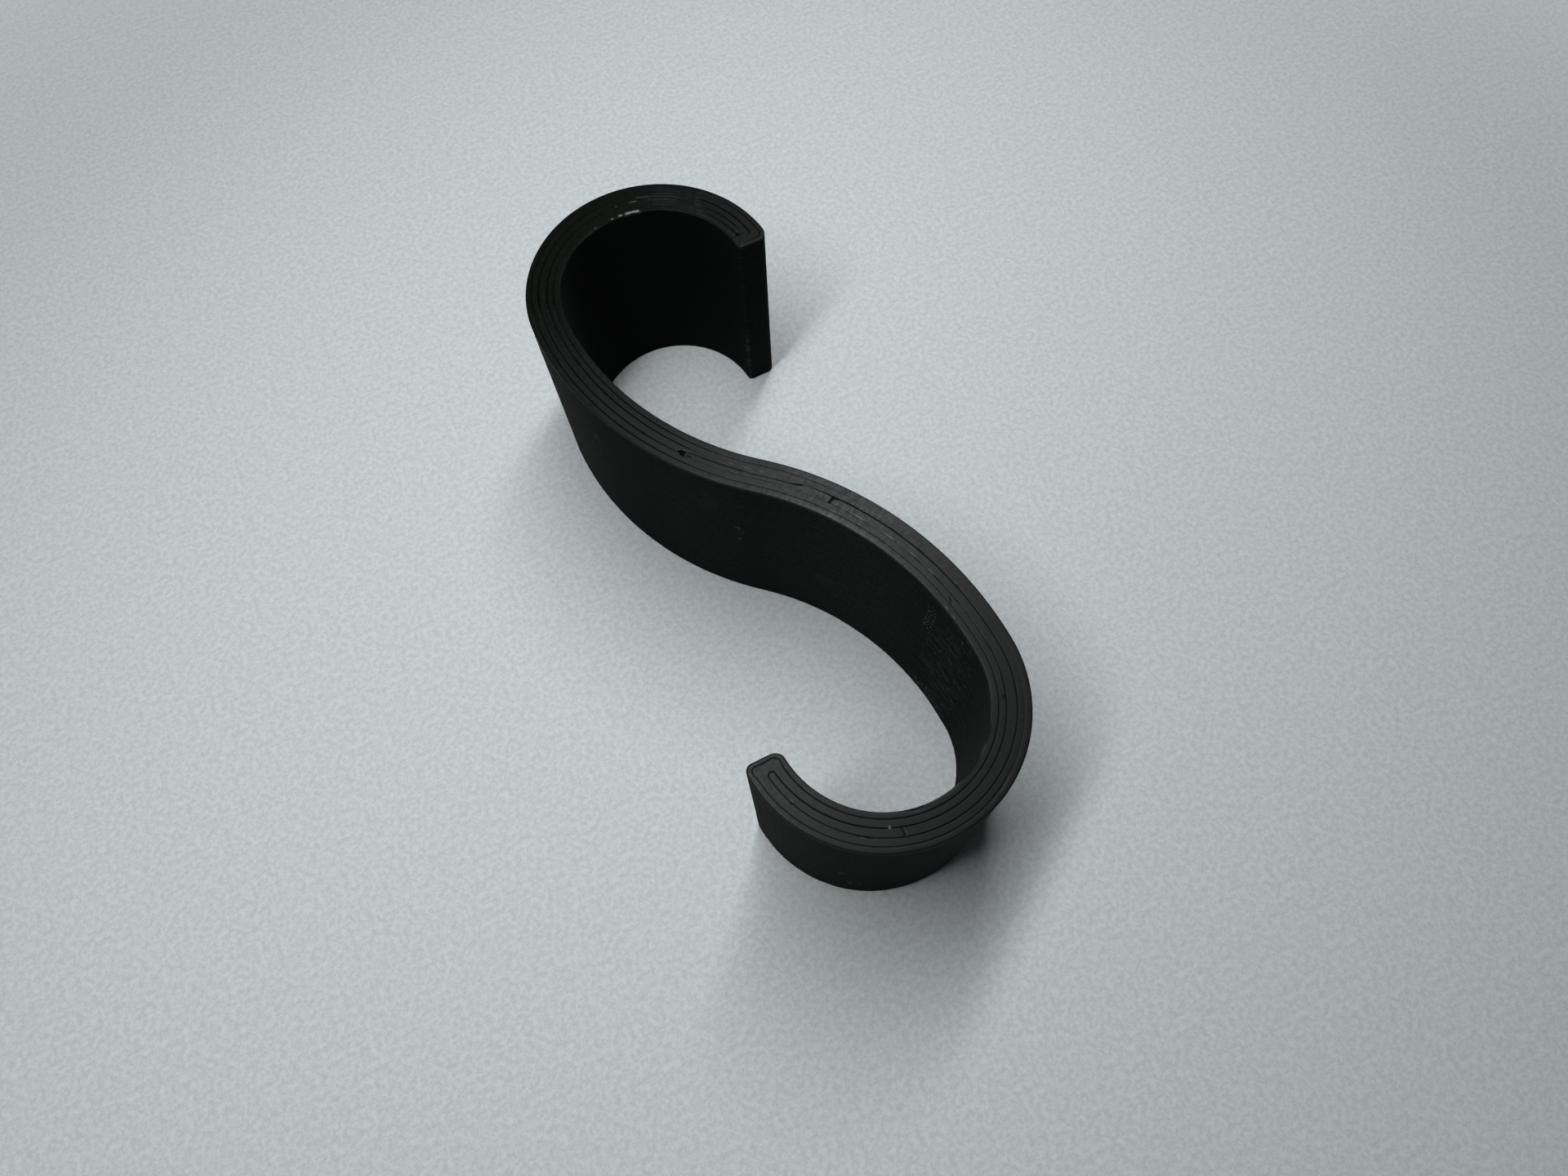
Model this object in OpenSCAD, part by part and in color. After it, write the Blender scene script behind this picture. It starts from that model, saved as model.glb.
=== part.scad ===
// S hook, printed in one piece as an upright band of constant thickness.
//
// The hook lies on its side face, as it was printed. +Z runs along the height of the
// band, +Y from the lower hook to the upper one, and the origin is at the middle of
// the S, on the face that it lies on. All sizes are in millimetres.
//
// The S is point-symmetric. Each half is two arcs in one tangent line: the shank,
// from the middle of the S to the level of the hook's centre, and the hook itself,
// which turns half a circle on from there and ends square, with rounded corners.

/* [Band] */
// Height of the band, from the face it lies on to its top face
band_h = 15; // [8:0.5:30]
// Thickness of the band
band_t = 2.15; // [1.8:0.05:3.2]
// Width of the bevel on the edges of both faces
edge_bevel = 0.12; // [0.04:0.02:0.24]

/* [Hooks] */
// Inside diameter of each hook
hook_inner_d = 11.7; // [8:0.1:18]
// Distance between the centres of the two hooks
hook_spacing = 30; // [24:0.5:60]
// Angle that each hook turns through, from the end of the shank to its tip
hook_sweep = 180; // [150:1:195]
// Radius of the two upright corners of each tip
tip_corner_r = 0.5; // [0.3:0.05:0.8]

/* [Top layer] */
// Width of one road of plastic in the top layer
road_w = 0.43; // [0.35:0.01:0.6]
// Depth of the groove where two roads meet
groove_depth = 0.07; // [0.03:0.01:0.12]
// Width of the groove where two roads meet
groove_w = 0.14; // [0.06:0.02:0.24]

/* [Hidden] */
$fn = 180;

// Both arcs are measured on the centreline of the band.
hook_r = (hook_inner_d + band_t) / 2;
hook_in_r = hook_r - band_t / 2;
hook_out_r = hook_r + band_t / 2;

// The shank leaves the hook at the level of its centre, square to that level, and
// passes through the middle of the S. One circle does both.
half_spacing = hook_spacing / 2;
shank_r = (pow(hook_r, 2) + pow(half_spacing, 2)) / (2 * hook_r);
shank_sweep = 2 * atan(hook_r / half_spacing);

// The tip's face lies at this angle round the hook's centre, and its corners are
// tangent to the face and to the two walls of the band.
tip_angle = 180 - hook_sweep;
inner_corner_x = sqrt(pow(hook_in_r + tip_corner_r, 2) - pow(tip_corner_r, 2));
outer_corner_x = sqrt(pow(hook_out_r - tip_corner_r, 2) - pow(tip_corner_r, 2));
inner_corner_angle = atan(tip_corner_r / inner_corner_x);
outer_corner_angle = atan(tip_corner_r / outer_corner_x);

// As many loops of road as fit run round the outline, one inside the other, and one
// last road fills the middle of the band.
road_loops = floor(band_t / road_w / 2);

// Section of the band in radius and height: an upright bar with bevelled corners.
module band_section(in_r, out_r) {
    polygon([
        [in_r, edge_bevel],
        [in_r + edge_bevel, 0],
        [out_r - edge_bevel, 0],
        [out_r, edge_bevel],
        [out_r, band_h - edge_bevel],
        [out_r - edge_bevel, band_h],
        [in_r + edge_bevel, band_h],
        [in_r, band_h - edge_bevel],
    ]);
}

// The strip of a section between two radii.
module section_strip(from_r, to_r) {
    intersection() {
        children();
        translate([from_r, 0]) square([to_r - from_r, band_h]);
    }
}

// Groove that lies along a circle in the top face.
module ring_groove(r, from_angle, to_angle) {
    rotate_extrude(start = from_angle, angle = to_angle - from_angle)
        translate([r, band_h])
            polygon([[-groove_w, groove_depth], [groove_w, groove_depth], [0, -groove_depth]]);
}

// Straight groove across a tip, from one wall's groove to the other's.
module tip_groove(from_x, to_x, y) {
    translate([from_x - groove_w / 2, y, band_h]) rotate([90, 0, 90])
        linear_extrude(to_x - from_x + groove_w)
            polygon([[-groove_w, groove_depth], [groove_w, groove_depth], [0, -groove_depth]]);
}

// Half of the shank: the arc from the middle of the S to the hook.
module half_shank() {
    translate([shank_r - hook_r, 0, 0])
        rotate_extrude(start = 180, angle = shank_sweep)
            band_section(shank_r - band_t / 2, shank_r + band_t / 2);
}

// The hook's arc. Its inner and outer parts each stop where their corner takes over.
module hook_arc() {
    inner_end = tip_angle + inner_corner_angle;
    rotate_extrude(start = inner_end, angle = 180 - inner_end)
        section_strip(hook_in_r, hook_out_r - tip_corner_r)
            band_section(hook_in_r, hook_out_r);
    outer_end = tip_angle + outer_corner_angle;
    rotate_extrude(start = outer_end, angle = 180 - outer_end)
        section_strip(hook_in_r + tip_corner_r, hook_out_r)
            band_section(hook_in_r, hook_out_r);
}

// The square end of the hook: two round corners with a flat face between them.
module hook_tip() {
    rotate(tip_angle) {
        for (x = [inner_corner_x, outer_corner_x])
            translate([x, tip_corner_r, 0])
                rotate_extrude($fn = 48)
                    section_strip(0, tip_corner_r)
                        band_section(-tip_corner_r, tip_corner_r);
        translate([inner_corner_x, 0, 0]) rotate([90, 0, 90])
            linear_extrude(outer_corner_x - inner_corner_x)
                section_strip(0, 2 * tip_corner_r)
                    band_section(0, 3 * tip_corner_r);
    }
}

// Grooves between the roads of half the S, loop by loop from the outline inwards.
module half_grooves() {
    for (loop = [1 : road_loops]) {
        inset = loop * road_w;
        in_r = hook_in_r + inset;
        out_r = hook_out_r - inset;
        translate([shank_r - hook_r, 0, 0])
            for (r = [shank_r - band_t / 2 + inset, shank_r + band_t / 2 - inset])
                ring_groove(r, 180, 180 + shank_sweep);
        for (r = [in_r, out_r])
            ring_groove(r, tip_angle + asin(inset / r), 180);
        rotate(tip_angle)
            tip_groove(sqrt(pow(in_r, 2) - pow(inset, 2)), sqrt(pow(out_r, 2) - pow(inset, 2)), inset);
    }
}

module s_hook() {
    color("#2b2f2e")
        difference() {
            for (turn = [0, 180])
                rotate(turn) translate([0, half_spacing, 0]) {
                    half_shank();
                    hook_arc();
                    hook_tip();
                }
            for (turn = [0, 180])
                rotate(turn) translate([0, half_spacing, 0])
                    half_grooves();
        }
}

s_hook();
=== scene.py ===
# %% [markdown]
# # An S hook printed in black plastic
#
# The hook is one flat band bent into an S. It was printed lying on its side:
# every layer is the whole S, drawn by a nozzle in five side-by-side roads of
# soft plastic, and the layers are stacked until the band is tall enough.
#
# The solid model gives the shape and the size. This lesson dresses it with
# what the printer leaves behind: roads and the fine trenches between them on
# the top, stacked layers on the walls, and the satin black of the plastic.
# It starts by loading the solid as a frame that nothing here may move.

# %% Load the frame
import math

import bpy
import numpy as np
from mathutils import Matrix


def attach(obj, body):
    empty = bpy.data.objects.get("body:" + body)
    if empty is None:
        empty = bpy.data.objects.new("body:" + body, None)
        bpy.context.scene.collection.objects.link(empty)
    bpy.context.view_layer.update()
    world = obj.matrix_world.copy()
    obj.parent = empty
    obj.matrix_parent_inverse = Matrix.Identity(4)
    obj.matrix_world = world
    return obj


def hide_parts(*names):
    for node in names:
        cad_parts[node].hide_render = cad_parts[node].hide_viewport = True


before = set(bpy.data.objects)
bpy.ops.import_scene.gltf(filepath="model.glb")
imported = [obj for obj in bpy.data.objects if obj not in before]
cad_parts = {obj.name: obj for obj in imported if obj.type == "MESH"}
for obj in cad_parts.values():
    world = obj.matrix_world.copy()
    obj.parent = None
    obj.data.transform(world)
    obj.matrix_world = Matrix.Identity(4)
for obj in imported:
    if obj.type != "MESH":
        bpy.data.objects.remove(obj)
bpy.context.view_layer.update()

MM = 0.001            # metres

# %% [markdown]
# ## The camera
#
# The camera looks down on the hook from about 75 mm away, with a wide lens,
# so the walls show all the way down to the paper. A constraint could aim it,
# but a hand-held camera also rolls a little. So three angles give three
# directions, to the right, up and forwards, and these fill its matrix.

# %% Aim the camera
CAMERA_AT = (-10.582, -27.882, 70.488)   # mm, in the frame of the part
CAMERA_HEADING = 66.989                  # degrees from +X, seen from above
CAMERA_DOWN = 67.754                     # degrees below level
CAMERA_ROLL = -3.282                     # degrees
CAMERA_SENSOR = 36.0                     # mm wide
CAMERA_LENS = 25.026                     # mm, on that sensor
CAMERA_CLIP = 0.001                      # m, nearest distance that it sees


def camera_axes(heading, down, roll):
    """Right, up and forward of a camera: forward has the heading and dips below level, right is
    level and square to it, up is their cross product, and the roll turns right and up about forward."""
    h, d, r = np.radians([heading, down, roll])
    forward = np.array([np.cos(h) * np.cos(d), np.sin(h) * np.cos(d), -np.sin(d)])
    right = np.array([np.sin(h), -np.cos(h), 0.0])
    up = np.cross(right, forward)
    return np.cos(r) * right + np.sin(r) * up, np.cos(r) * up - np.sin(r) * right, forward


cam_axes = camera_axes(CAMERA_HEADING, CAMERA_DOWN, CAMERA_ROLL)
print("camera looks along:", cam_axes[2].round(3))


# %% Place the camera
def set_place(thing, axes, at):
    """Turns a camera or lamp to look along the third of its axes, and puts it at a place in metres."""
    right, up, forward = axes
    matrix = np.eye(4)
    matrix[:3, 0], matrix[:3, 1], matrix[:3, 2], matrix[:3, 3] = right, up, -forward, at
    thing.matrix_world = Matrix(matrix.tolist())


cam_data = bpy.data.cameras.new("camera")
cam_data.lens = CAMERA_LENS
cam_data.sensor_width = CAMERA_SENSOR
cam_data.clip_start = CAMERA_CLIP
cam = bpy.data.objects.new("camera", cam_data)
bpy.context.scene.collection.objects.link(cam)
set_place(cam, cam_axes, np.array(CAMERA_AT) * MM)
bpy.context.scene.camera = cam
print("camera at, m:", [round(v, 4) for v in cam.location])

# %% [markdown]
# ## The centre line of the S
#
# Each half of the S is two arcs that meet smoothly: the wide arc of the shank,
# which starts in the middle of the S, and the tight arc of the hook. The other
# half is the same line turned half round. A curve object could draw this, but
# arcs have a short formula that works for whole arrays and lands exactly on
# the solid. Places on the band are then given as (s, n): s millimetres along
# the centre line from the middle, and n millimetres across it.

# %% Sizes of the band
BAND_H = 15.0         # mm, height, stacked from layers
BAND_T = 2.15         # mm, thickness, five roads side by side
HOOK_INNER_D = 11.7   # mm, inside each hook
HOOK_SPACING = 30.0   # mm, between the two hooks' centres

HALF_T = BAND_T / 2
hook_r = HOOK_INNER_D / 2 + HALF_T
half_spacing = HOOK_SPACING / 2
shank_r = (hook_r**2 + half_spacing**2) / (2 * hook_r)
shank_turn = 2 * math.atan(hook_r / half_spacing)
shank_len = shank_r * shank_turn
half_len = shank_len + math.pi * hook_r
print("centre line, mm:", round(2 * half_len, 2), "shank radius:", round(shank_r, 2))


# %% From the band to the plan
def centre_line(s):
    """Point and cross direction at s. The distance from the middle, divided by the arc's radius, is the
    angle run on the shank's circle, and past its end on the hook's; the cross direction points away
    from that circle's centre. For negative s the point is turned half round."""
    run = np.abs(s)
    shank = run < shank_len
    radius = np.where(shank, shank_r, hook_r)
    angle = np.where(shank, math.pi + shank_turn - run / shank_r, math.pi - (run - shank_len) / hook_r)
    across = np.stack([np.cos(angle), np.sin(angle)], -1)
    centre = np.stack([np.where(shank, shank_r - hook_r, 0.0), np.full_like(run, half_spacing)], -1)
    return np.sign(s)[..., None] * (centre + radius[..., None] * across), across


def plan(s, n):
    """Place in the plan, mm: the centre line's point at s plus n times the cross direction."""
    point, across = centre_line(s)
    return point + n[..., None] * across


tips = plan(np.array([-half_len, half_len]), np.zeros(2))
print("middles of the two tips, mm:", tips.round(2).tolist())

# %% [markdown]
# ## Rows round the outline
#
# The nozzle draws each layer as rings, one inside the other. A grid over the
# whole top could carry them, but its edges would cross the roads and make
# their trenches ragged. So the mesh is laid out as the nozzle went. Its rows
# cross the band: they start at the outline and end on the middle of the band,
# and at a tip they fan out from one point. Its columns then run with the roads
# and turn round the tips as they do. Rows are close together only where a
# small feature needs them.

# %% Rows along the band
ROW_STEP = 0.30       # mm between rows
FINE_SPOTS = [        # from s, to s, step: where the top has a small mark
    (-36.4, -35.7, 0.06), (-32.6, -31.4, 0.09), (-31.0, -29.8, 0.06), (-20.3, -19.7, 0.08),
    (-14.8, -13.3, 0.10), (-5.2, -4.2, 0.05), (-3.0, -1.8, 0.06), (3.9, 5.1, 0.05),
    (26.0, 26.3, 0.09), (27.3, 29.8, 0.09), (30.2, 30.8, 0.07), (33.3, 33.9, 0.08), (37.2, 37.8, 0.05),
]
POLE_INSET = 1.07     # mm from a tip's end to the point that its rows fan out from
s_pole = half_len - POLE_INSET


def graded(low, high, step, spots, samples=20001):
    """Places from low to high. The number of steps up to a place is the sum of distance over local step;
    places are read off where that sum is whole."""
    axis = np.linspace(low, high, samples)
    local = np.full_like(axis, step)
    for a, b, fine in spots:
        local = np.where((axis > a) & (axis < b), np.minimum(local, fine), local)
    total = np.concatenate([[0.0], np.cumsum(np.diff(axis) / local[:-1])])
    return np.interp(np.linspace(0, total[-1], int(round(total[-1])) + 1), total, axis)


spine_s = graded(-s_pole, s_pole, ROW_STEP, FINE_SPOTS)
rows_n = len(spine_s)
print("rows along one side:", rows_n)

# %% Rows round a tip
UPPER_END, UPPER_CORNERS = half_len - 0.12, (0.62, 0.36)   # mm: end, corner radii on side A and side B
LOWER_END, LOWER_CORNERS = half_len, (0.62, 0.46)
TIP_STEP = 0.06       # mm between rows there
ARC_POINTS = 40


def tip_outline(end, corners):
    """(s, n) round a tip, from side A over its end to side B: a straight, a quarter circle, the end,
    a quarter circle and a straight, read off at even steps."""
    ra, rb = corners
    turn = np.linspace(0, math.pi / 2, ARC_POINTS)
    s = np.concatenate([[s_pole], end - ra + ra * np.sin(turn), end - rb + rb * np.cos(turn), [s_pole]])
    n = np.concatenate([[HALF_T], HALF_T - ra + ra * np.cos(turn),
                        rb - HALF_T - rb * np.sin(turn), [-HALF_T]])
    run = np.concatenate([[0.0], np.cumsum(np.hypot(np.diff(s), np.diff(n)))])
    even = np.linspace(0, run[-1], int(run[-1] / TIP_STEP))[1:-1]
    return np.interp(even, run, s), np.interp(even, run, n)


upper_s, upper_n = tip_outline(UPPER_END, UPPER_CORNERS)
lower_s, lower_n = tip_outline(LOWER_END, LOWER_CORNERS)
print("rows round the tips:", len(upper_s), "and", len(lower_s))

# %% The outline as one loop
loop_s = np.concatenate([spine_s, upper_s, spine_s[::-1], -lower_s[::-1]])
loop_n = np.concatenate([np.full(rows_n, HALF_T), upper_n, np.full(rows_n, -HALF_T), lower_n[::-1]])
loop_spine = np.concatenate([       # the number of the spine's vertex that each row ends on
    np.arange(rows_n), np.full(len(upper_s), rows_n - 1),
    np.arange(rows_n)[::-1], np.zeros(len(lower_s), int)])
loop_len = len(loop_s)
outline = plan(loop_s, loop_n)
ahead = np.roll(outline, -1, 0) - np.roll(outline, 1, 0)
ahead /= np.linalg.norm(ahead, axis=1)[:, None]
outward = np.stack([-ahead[:, 1], ahead[:, 0]], -1)
inward_len = np.hypot(loop_s - spine_s[loop_spine], loop_n)
print("rows round the outline:", loop_len, "box, mm:", np.ptp(outline, 0).round(3))

# %% [markdown]
# ## Roads on the top
#
# Between two roads of plastic is a trench less than a tenth of a millimetre
# wide. Two trenches ring the band, one inside the other. A bump texture could
# hint at them, but a real trench has a dark floor and a lit lip from every
# side, so they are cut into the mesh.
#
# The trenches are neither quite even nor everywhere open: where the nozzle
# pushed more plastic the roads have run together, and only a dark line is
# left, which is painted in as shade. So each trench gets a place, an openness
# and a share of real depth that change along the band. Side A is the outside
# of the upper hook, which is also the inside of the lower one, and side B is
# the other side.


# %% Where the trenches run
def along(s, knots):
    """A value along the band: straight lines between (s, value) knots."""
    ks, kv = np.array(knots).T
    return np.interp(s, ks, kv)


# (s, |n| in mm): the outer trench, 1, and the inner one, 2, on side A and side B
TRENCH_A1 = [(-37.7, .73), (-30, .70), (-20, .68), (-10, .66), (0, .68), (14, .70), (25, .72), (37.7, .73)]
TRENCH_A2 = [(-37.7, .21), (-35, .24), (-30, .26), (-20, .28), (-16, .26), (-5, .24), (0, .22), (5, .24),
             (14, .26), (25, .28), (33.6, .29), (37.7, .21)]
TRENCH_B2 = [(-37.7, .175), (-36, .19), (-30, .25), (-20, .29), (-10, .25), (-4.6, .22), (-2.7, .25),
             (3, .26), (14, .27), (25, .25), (33.6, .19), (37.7, .19)]
TRENCH_B1 = [(-37.7, .70), (-30, .68), (-20, .66), (14, .65), (25, .63), (34.5, .60), (36.8, .57),
             (37.7, .53)]
END_ROAD = 0.29       # mm, the outer road's width across a tip's end

TIP_BLEND = POLE_INSET - 0.1          # mm over which the road narrows to that
at_tip = np.clip((np.abs(loop_s) - s_pole) / TIP_BLEND, 0, 1) ** 2
share_a = 0.5 + 0.5 * np.clip(1.3 * np.clip(loop_n / HALF_T, -1, 1), -1, 1)


def ring(knots_a, knots_b):
    """A value round the outline: each side has its own line of knots, and they are mixed over the tips."""
    return share_a * along(loop_s, knots_a) + (1 - share_a) * along(loop_s, knots_b)


outer_trench = HALF_T - ring(TRENCH_A1, TRENCH_B1)
outer_trench += (END_ROAD - outer_trench) * at_tip
inner_trench = inward_len - ring(TRENCH_A2, TRENCH_B2)
print("outer trench, mm in:", outer_trench.min().round(3), outer_trench.max().round(3),
      "inner:", inner_trench.min().round(3), inner_trench.max().round(3))

# %% How open the trenches are
# (s, openness): 0 is closed, 1 is as open as most, 2 gapes
OPEN_A1 = [(-38, .5), (-30, .5), (-28, .7), (-22, .7), (-18, .5), (-13, .3), (2, .3), (5, .6), (8, .9),
           (11, 1), (18, 1), (19.5, .5), (25, .2), (28, 0), (30.3, 0), (30.7, .1), (32.2, .1), (32.5, .05),
           (34, .2), (35, .7), (38, .9)]
OPEN_A2 = [(-38, .6), (-34, .8), (-20, .7), (-16.8, .55), (-16.3, .2), (-15.7, .4), (-15.3, .1), (-14.9, .4),
           (-14.3, .2), (-13.9, .5), (-13.1, .4), (-12.8, .1), (-12.5, .5), (-12, .7), (-11.8, .1), (-11, .1),
           (-10.7, .5), (-10.1, .5), (-9.9, .1), (-9.2, .1), (-8.9, .4), (-8.4, .1), (-7, .1), (-6.8, .2),
           (-6, .1), (-.5, .1), (0, .2), (3.6, .2), (4.2, .1), (4.9, .1), (5.1, .6), (7, .8), (8, 1), (18, 1),
           (20, .7), (26, .4), (29, .1), (30.3, 0), (30.7, .12), (32.2, .12), (32.5, 0), (33.4, 0),
           (33.8, 1.4), (34.2, 2), (37.4, 2), (38, .9)]
OPEN_B2 = [(-38, .4), (-30, .45), (-28, .75), (-20, .7), (-13.6, .6), (-13.2, .9), (-12.8, .6), (-10.6, .8),
           (-9.8, .8), (-9.2, .6), (-8.5, .9), (-6, .8), (-4.6, 1), (-3.6, .4), (-2.8, .2), (-2.2, 0),
           (2.8, 0), (4.2, .3), (5, .7), (7.5, 1), (18, 1.1), (20, .75), (25, .45), (28, .1), (30.3, 0),
           (30.7, .2), (32.2, .2), (32.5, 0), (33.4, 0), (34.2, .8), (35, 1.4), (36.8, 1.5), (37.2, .1),
           (38, .1)]
OPEN_B1 = [(-38, .35), (-30, .4), (-28, .6), (-24, .5), (-20, .3), (-16, .1), (-6, .06), (-3, .25), (2, .3),
           (5, .6), (8, .9), (18, .9), (20, .4), (24, .15), (27, 0), (30.3, 0), (30.7, .12), (32.2, .12),
           (32.5, .05), (34, .1), (35, 1.2), (37.2, 1.4), (37.7, .3), (38, .15)]
# (s, share): 1 where a trench has its depth, 0 where it is only a dark line of painted shade
CUT = [(16, 1), (18.6, 0), (33.2, 0), (34, 1)]
CUT_B1 = [(-26, 1), (-24, .1), (-6, .1), (-3, 1)] + CUT

outer_open, inner_open = ring(OPEN_A1, OPEN_B1), ring(OPEN_A2, OPEN_B2)
outer_cut, inner_cut = ring(CUT, CUT_B1), along(loop_s, CUT)
print("mean openness: outer", outer_open.mean().round(2), "inner", inner_open.mean().round(2))

# %% Columns that run with the roads
# (s, mm): width of the oval shoulder of the outer road
RIM_A = [(-38, .10), (-33, .09), (-28, .05), (-27, .02), (-21, .02), (-19, .05), (-2, .05), (4, .08),
         (38, .08)]
RIM_B = [(-38, .14), (-26, .13), (-20, .07), (16, .06), (19, .02), (33, .02), (35, .07), (38, .07)]
RIM_SHAPE = 0.65      # its height over its width
RIM_GAP = 0.08        # mm, the least flat between the shoulder and the outer trench
RIM_TURN = np.radians([0, 18, 36, 54, 72, 90])
TRENCH_STEPS = np.array([-.060, -.040, -.018, 0, .018, .040, .060])    # mm, columns beside each trench

rim_w = np.minimum(ring(RIM_A, RIM_B), outer_trench - RIM_GAP)


def even(a, b, count):
    """Places that cut the way from a to b into count even steps, without its ends."""
    t = np.arange(1, count) / count
    return a[:, None] + (b - a)[:, None] * t


def road_columns(outer, inner, length):
    """Distances in from the outline, one row of them for each row of the mesh: the shoulder's arc, then
    the columns that hug each trench, with even steps between, up to the middle of the band."""
    shoulder = rim_w[:, None] * (1 - np.cos(RIM_TURN))
    first, second = outer[:, None] + TRENCH_STEPS, inner[:, None] + TRENCH_STEPS
    return np.hstack([shoulder, even(shoulder[:, -1], first[:, 0], 2), first,
                      even(first[:, -1], second[:, 0], 5), second, even(second[:, -1], length, 8)])


inset = road_columns(outer_trench, inner_trench, inward_len)
assert (np.diff(inset, axis=1) > 0).all() and (inset < inward_len[:, None]).all()
share = inset / inward_len[:, None]
top_s = loop_s[:, None] + (spine_s[loop_spine] - loop_s)[:, None] * share
top_n = loop_n[:, None] * (1 - share)
print("top: rows", top_s.shape[0], "columns", top_s.shape[1])

# %% [markdown]
# ## The relief of the top
#
# A trench is a narrow notch with softly rounded lips. Small accidents lie
# between the rings: the start and stop of a road, a pit where two roads did
# not meet, a speck of plastic. They could be sculpted by hand, but then they
# could not be moved or made shallower later. Here each is a line or an oval
# given by its place on the band, and all of them add up to one height, one
# darkness and one paleness at every vertex. The darkness is painted shade in
# the trenches, scratches, pits and dark nicks; part of the paleness is painted
# highlights.


# %% Soft shapes
def bell(x):
    """1 at 0, falling off on both sides: e to the power of minus x squared."""
    return np.exp(-x ** 2)


def soft_step(x):
    """0 far below 0 and 1 far above: one over one plus e to the power of minus x."""
    return 1 / (1 + np.exp(-np.clip(x, -30, 30)))


print("bell and step at 1:", bell(1.0).round(3), soft_step(1.0).round(3))

# %% Notches, scratches and spots
TRENCH_DEPTH, TRENCH_W = 0.12, 0.020      # mm, of a trench that is fully open
SCRATCH_W = 0.027                         # mm
EDGE_SHARPNESS = 9                        # of a spot's edge


def notch(distance, openness, cut):
    """How deep a trench is, as a share: its openness in the middle, falling off as a bell curve of the
    distance from it. A narrow one is less open; one that isn't cut leaves a wider, vaguer line."""
    width = TRENCH_W * (0.5 + 0.5 * np.sqrt(openness)) * (1 + 1.5 * (1 - cut))
    return openness * bell(distance / width)


def scratch(s, n, corners):
    """1 on a line through its corners, falling off as a bell curve of the distance to its nearest part."""
    near = np.full(s.shape, 9.0)
    for (s0, n0), (s1, n1) in zip(corners[:-1], corners[1:]):
        ds, dn = s1 - s0, n1 - n0
        t = np.clip(((s - s0) * ds + (n - n0) * dn) / (ds * ds + dn * dn), 0, 1)
        near = np.minimum(near, np.hypot(s - s0 - t * ds, n - n0 - t * dn))
    return bell(near / SCRATCH_W)


def spot(s, n, at, size, ragged):
    """1 inside an oval at a place, 0 outside, with an edge that a few waves make ragged."""
    u, v = (s - at[0]) / size[0], (n - at[1]) / size[1]
    turn = np.arctan2(v, u)
    edge = 1 + ragged * (np.sin(3 * turn + 7 * at[0]) + 0.7 * np.sin(5 * turn + 3 * at[0]))
    return soft_step(EDGE_SHARPNESS * (1 - np.hypot(u, v) / edge))


print("a trench has half its depth at, mm:", round(TRENCH_W * math.sqrt(math.log(2)), 4))

# %% Scratches
SCRATCHES = [   # depth, darkness as painted shade, corners (s, n)
    # ends and joints of roads on the lower hook and in the middle
    (.07, 1, [(-30.15, .22), (-30.07, .05), (-30.03, -.25)]), (.03, .5, [(-32.4, -.24), (-31.6, -.25)]),
    (.05, .6, [(-13.75, .55), (-13.5, .42)]), (.12, 1, [(-4.51, .245), (-4.55, -.02), (-4.66, -.2)]),
    # the extra seam in the middle of the S
    (.07, .8, [(-2.62, -.17), (-2.35, -.10), (-2.04, -.05)]),
    (.03, .35, [(-2.04, -.05), (0, -.03), (.8, -.05)]), (.06, .6, [(.8, -.05), (2, -.07), (3.4, -.07)]),
    (.05, .5, [(3.4, -.07), (4.1, -.05), (4.4, 0)]), (.06, .6, [(4.08, .2), (4.3, .2)]),
    # fine lines and a joint on the upper bend, and a groove beside its inner edge, painted dark as shade
    (.04, 1, [(30.44, .04), (30.5, -.34)]), (.02, .6, [(29.6, .02), (32.6, .02)]),
    (.02, .6, [(29.8, -.42), (32.7, -.42)]), (.02, .5, [(30.0, .48), (32.4, .48)]),
    (.02, .8, [(33.62, .36), (33.78, .2)]), (.07, 1, [(33.2, -1.01), (37.6, -.99)]),
]
print("scratches:", len(SCRATCHES))

# %% Pits
PITS = [        # depth, darkness as painted shade, place, half size
    # where roads end: the hole beside the seam, the lower hook, the upper tip
    (.26, 1, (4.66, .15), (.15, .13)), (.13, 1, (-4.68, -.17), (.15, .055)), (.09, 1, (-20, .33), (.10, .06)),
    (.04, .9, (-36.0, -.19), (.08, .045)), (.05, 1, (-31.85, -.25), (.18, .035)),
    (.05, 1, (-32.38, -.24), (.12, .03)), (.24, 1, (37.56, -.49), (.10, .11)),
    # painted shade: the dark inner corner of the upper tip, with no depth
    (0, 1, (38.42, -1.0), (.16, .10)),
    # wide places in the inner trench
    (.06, .8, (-2.55, -.16), (.12, .035)), (.06, .9, (7.4, .24), (.16, .04)),
    (.06, .9, (-13.2, -.29), (.22, .035)), (.06, .9, (-10.3, -.27), (.3, .035)),
    (.06, .9, (-8.5, -.26), (.35, .035)), (.06, .9, (-5.6, -.24), (.5, .03)),
    # painted shade: dark nicks on the inner edge of the lower hook, painted with little or no depth
    (.03, 1, (-29.3, 1.02), (.55, .045)), (0, 1, (-25.0, 1.045), (.85, .05)),
    (0, 1, (-22.4, 1.045), (.7, .05)),
]
RAGGED_PIT = 0.22     # how uneven their edges are
print("pits:", len(PITS))


# %% All blemishes together
def blemishes(s, n):
    """Depth and darkness that the scratches and pits give at (s, n): the greatest of them all."""
    depth_there, dark_there = np.zeros(s.shape), np.zeros(s.shape)
    marks = [(depth, darkness, scratch(s, n, corners)) for depth, darkness, corners in SCRATCHES]
    marks += [(depth, darkness, spot(s, n, at, size, RAGGED_PIT)) for depth, darkness, at, size in PITS]
    for depth, darkness, mark in marks:
        depth_there = np.maximum(depth_there, depth * mark)
        dark_there = np.maximum(dark_there, darkness * mark)
    return depth_there, dark_there


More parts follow.
